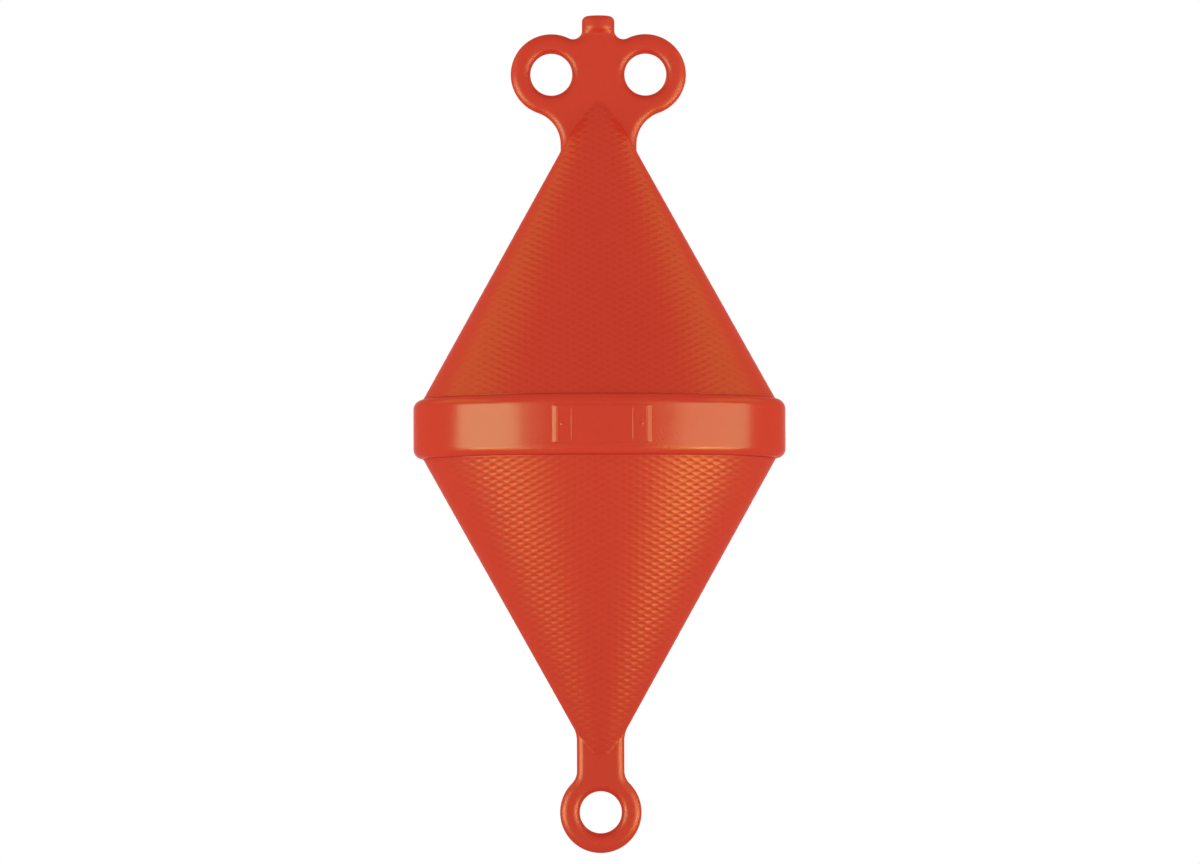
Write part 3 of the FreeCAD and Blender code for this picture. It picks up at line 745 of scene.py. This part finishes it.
def makeLabel(name, facing, node):
    # the relief laid on the belt's wall over a grid of arc lengths and heights, closed behind
    halfArc = math.asin(label["halfWidth"] / beltRadius) * beltRadius
    s = np.linspace(-halfArc, halfArc, int(2 * halfArc / label["step"]))
    halfHeight = label["halfHeight"]
    z = np.linspace(-halfHeight, halfHeight, int(2 * halfHeight / label["step"]))
    arc, height = np.meshgrid(s, z, indexing="ij")
    reach = beltRadius - belt["seamHeight"] + labelRelief(arc * label["halfWidth"] / halfArc, height)
    turn = arc / beltRadius

    def laid(radius):
        return np.stack([radius * np.sin(turn), facing * radius * np.cos(turn), height], -1)

    front, back = laid(reach), laid(np.full_like(reach, beltRadius - label["backDepth"]))
    grids = [front, back]
    for end in (0, -1):
        grids += [np.stack([front[end], back[end]]), np.stack([front[:, end], back[:, end]])]
    mesh = meshFrom(name, [(grid, gridFaces(grid, False)) for grid in grids])
    finishPiece(name, mesh, labelPlastic, [node])


makeBelt()
makeCone("upper_cone_skin", 1, "upper_cone")
makeCone("lower_cone_skin", -1, "lower_cone")
headEyes = [(headEyeX, headEyeZ), (-headEyeX, headEyeZ)]
makeLug("head_lug_skin", *headOutline(), headEyes, ["head_web", "head_eye_left", "head_eye_right"])
makeLug("foot_lug_skin", *footOutline(), [(0, footEyeZ)], ["foot_shank", "foot_eye"])
makeNeck()
makeLabel("label_panel_front_skin", -1, "label_panel_front")
makeLabel("label_panel_rear_skin", 1, "label_panel_rear")


stage = {
    "fill": 1.10,
    "topDim": 0.41,
    "floorBelow": 0.42,
    "floorRadius": 1.8,
    "floorRings": 3,
    "floorSteps": 96,
    "floorFade": (0.6, 1.7),
    "floorShade": 0.8,
    "floorGlow": 0.36,
}

# where each softbox stands: its turn from the front, how far out and how high
softboxes = {
    "side_left": {"turn": -71, "far": 1.17, "z": -0.21, "size": (1.0, 0.84), "power": 31},
    "side_right": {"turn": 72, "far": 1.12, "z": -0.21, "size": (1.16, 0.84), "power": 27.6},
    "front_right": {"turn": 37, "far": 1.5, "z": 0.0, "size": (0.55, 0.50), "power": 2.2},
    "low_left": {"turn": -58, "far": 0.74, "z": -0.54, "size": (0.48, 0.30), "power": 4.6},
    "low_right": {"turn": 58, "far": 0.74, "z": -0.54, "size": (0.48, 0.30), "power": 7.6},
    "middle_left": {"turn": -76, "far": 0.86, "z": -0.48, "size": (0.50, 0.26), "power": 5.4},
    "middle_right": {"turn": 76, "far": 0.86, "z": -0.48, "size": (0.50, 0.26), "power": 9.2},
    "high_left": {"turn": -104, "far": 1.5, "z": 1.0, "size": (1.6, 0.62), "power": 6.8},
    "high_right": {"turn": 104, "far": 1.5, "z": 1.0, "size": (1.6, 0.62), "power": 6.8},
}

# all but the high ones only lend their gloss: the even fill lights the colour itself
softboxGroups = {
    "side": {"aim": -0.21, "tint": (0.84, 0.95, 0.88), "diffuse": False},
    "front": {"aim": 0.0, "tint": (1.0, 0.92, 0.5), "diffuse": False},
    "low": {"aim": -0.10, "tint": (0.68, 0.43, 0.15), "diffuse": False},
    "middle": {"aim": -0.10, "tint": (0.68, 0.43, 0.15), "diffuse": False},
    "high": {"aim": 0.15, "tint": (0.6, 1.0, 0.2), "diffuse": True},
}

camera = {
    "distance": 6.0,
    "turn": -0.75,
    "rise": -1.8,
    "roll": -0.196,
    "frameWidth": 1.032,
    "sensorWidth": 36,
    "seesTo": 60,
    "aim": (0.0004, 0, -0.0024),
}


def lightPathMask(tree):
    # one for camera, glossy and transmission rays, which all see the white surround
    path = tree.nodes.new("ShaderNodeLightPath")
    seen = mathNode(tree, "MAXIMUM", path.outputs["Is Camera Ray"], path.outputs["Is Glossy Ray"])
    return mathNode(tree, "MAXIMUM", seen, path.outputs["Is Transmission Ray"])


def mixShaders(tree, share, first, second):
    mix = tree.nodes.new("ShaderNodeMixShader")
    for value, socket in zip((share, first, second), mix.inputs):
        tree.links.new(value, socket)
    return mix.outputs[0]


def makeWorld():
    # an even white fill that grows weaker towards the top; the eye and the gloss see plain white
    world = bpy.data.worlds.new("white_surround")
    bpy.context.scene.world = world
    world.use_nodes = True
    tree = world.node_tree
    fill, white = tree.nodes["Background"], tree.nodes.new("ShaderNodeBackground")
    for background in (fill, white):
        background.inputs["Color"].default_value = (1, 1, 1, 1)
    white.inputs["Strength"].default_value = 1.0
    direction = tree.nodes.new("ShaderNodeTexCoord").outputs["Generated"]
    split = tree.nodes.new("ShaderNodeSeparateXYZ")
    tree.links.new(direction, split.inputs["Vector"])
    dim = mathNode(tree, "MULTIPLY", split.outputs["Z"], -stage["topDim"] * stage["fill"])
    tree.links.new(mathNode(tree, "ADD", dim, stage["fill"]), fill.inputs["Strength"])
    surround = mixShaders(tree, lightPathMask(tree), fill.outputs[0], white.outputs[0])
    tree.links.new(surround, tree.nodes["World Output"].inputs["Surface"])


def makeFloor():
    # a pale round floor under the hanging buoy that keeps its shadow; it grows clear in a smooth
    # S with the distance from the buoy's middle, and from below it can't be seen
    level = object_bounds()[0].z - stage["floorBelow"]
    radius = np.linspace(0, stage["floorRadius"], stage["floorRings"] + 1)
    points = revolved(radius, np.full(len(radius), level), stage["floorSteps"])
    mesh = meshFrom("floor", [(points, gridFaces(points, True))])
    if mesh.polygons[0].normal.z < 0:
        mesh.flip_normals()
    floor = bpy.data.objects.new("floor", mesh)
    bpy.context.scene.collection.objects.link(floor)
    material = bpy.data.materials.new("pale_floor")
    mesh.materials.append(material)
    material.use_nodes = True
    tree = material.node_tree
    tree.nodes.clear()
    pale = tree.nodes.new("ShaderNodeBsdfDiffuse")
    pale.inputs["Color"].default_value = (stage["floorShade"],) * 3 + (1,)
    glow = tree.nodes.new("ShaderNodeEmission")
    glowing = mathNode(tree, "MULTIPLY", lightPathMask(tree), stage["floorGlow"])
    tree.links.new(glowing, glow.inputs["Strength"])
    both = tree.nodes.new("ShaderNodeAddShader")
    tree.links.new(pale.outputs[0], both.inputs[0])
    tree.links.new(glow.outputs[0], both.inputs[1])
    place = tree.nodes.new("ShaderNodeNewGeometry")
    away = tree.nodes.new("ShaderNodeVectorMath")
    away.operation = "LENGTH"
    tree.links.new(place.outputs["Position"], away.inputs[0])
    fade = rangeNode(tree, away.outputs["Value"], *stage["floorFade"], smooth=True)
    hidden = mathNode(tree, "MAXIMUM", fade, place.outputs["Backfacing"])
    clear = tree.nodes.new("ShaderNodeBsdfTransparent")
    output = tree.nodes.new("ShaderNodeOutputMaterial")
    shown = mixShaders(tree, hidden, both.outputs[0], clear.outputs[0])
    tree.links.new(shown, output.inputs["Surface"])


def onSphere(turn, rise):
    # the direction at this turn from the front and this rise over the level, in degrees
    turn, rise = math.radians(turn), math.radians(rise)
    flat = math.cos(rise)
    return Vector((math.sin(turn) * flat, -math.cos(turn) * flat, math.sin(rise)))


def setUp(name, data, place, target, roll=0.0):
    # puts a lamp or a camera at its place, turned so that it looks at the target with its Y up
    holder = bpy.data.objects.new(name, data)
    holder.location = place
    holder.rotation_mode = "QUATERNION"
    aim = (Vector(target) - place).to_track_quat("-Z", "Y")
    holder.rotation_quaternion = aim @ Quaternion((0, 0, 1), math.radians(roll))
    bpy.context.scene.collection.objects.link(holder)
    return holder


def makeLamps():
    for name, box in softboxes.items():
        group = softboxGroups[name.split("_")[0]]
        lamp = bpy.data.lights.new(name, "AREA")
        lamp.shape = "RECTANGLE"
        lamp.size, lamp.size_y = box["size"]
        lamp.energy = box["power"]
        lamp.color = group["tint"]
        place = box["far"] * onSphere(box["turn"], 0) + Vector((0, 0, box["z"]))
        holder = setUp(name, lamp, place, (0, 0, group["aim"]))
        holder.visible_diffuse = group["diffuse"]


def makeCamera():
    # the lens is long enough to frame the given width at the aim's distance
    lens = bpy.data.cameras.new("camera")
    lens.sensor_width = camera["sensorWidth"]
    lens.lens = camera["sensorWidth"] * camera["distance"] / camera["frameWidth"]
    lens.clip_end = camera["seesTo"]
    place = Vector(camera["aim"]) + camera["distance"] * onSphere(camera["turn"], camera["rise"])
    bpy.context.scene.camera = setUp("camera", lens, place, camera["aim"], camera["roll"])


makeWorld()
makeFloor()
makeLamps()
makeCamera()
bpy.context.scene.view_settings.view_transform = "Standard"
print("stage set")
